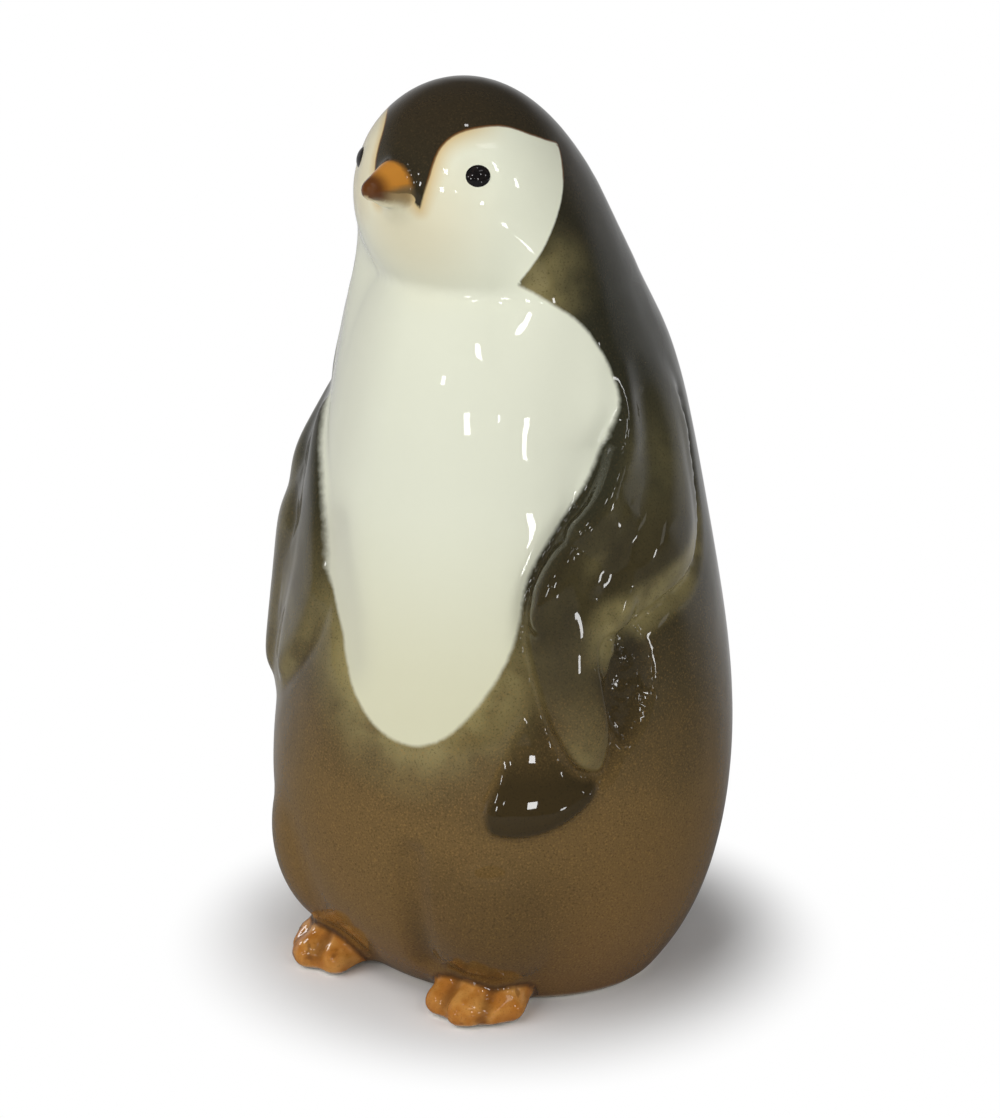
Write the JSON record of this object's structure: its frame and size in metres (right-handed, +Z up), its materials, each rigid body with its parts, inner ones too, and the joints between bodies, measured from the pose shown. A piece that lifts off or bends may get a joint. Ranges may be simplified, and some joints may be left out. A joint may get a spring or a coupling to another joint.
{
  "type": "penguin figurine",
  "caption": "Glazed porcelain penguin chick ornament: a hollow cast bird that stands on a flat base, with raised flippers, feet, eyes and a short beak.",
  "frame": {"origin": "middle of the flat base, on the surface that the figurine stands on", "axes": "+Z up through the head, the bird faces -Y, its left flipper is on +X"},
  "size_m": [0.097, 0.0907, 0.182],
  "materials": {
    "torso_glaze": "glossy glaze over airbrushed olive brown with a white bib",
    "head_glaze": "glossy glaze over near-black brown with a white face mask",
    "beak_glaze": "glossy glaze, orange to a dark brown tip",
    "eye_glaze": "glossy black glaze",
    "flipper_glaze": "glossy glaze over dark olive brown",
    "foot_glaze": "glossy glaze over orange brown with dark spots",
    "tail_glaze": "glossy glaze over brown"
  },
  "bodies": {
    "root": {"torso": "torso_glaze", "head": "head_glaze", "beak": "beak_glaze", "eye_left": "eye_glaze", "eye_right": "eye_glaze", "flipper_left": "flipper_glaze", "flipper_right": "flipper_glaze", "foot_left": "foot_glaze", "foot_right": "foot_glaze", "tail": "tail_glaze"}
  },
  "joints": []
}
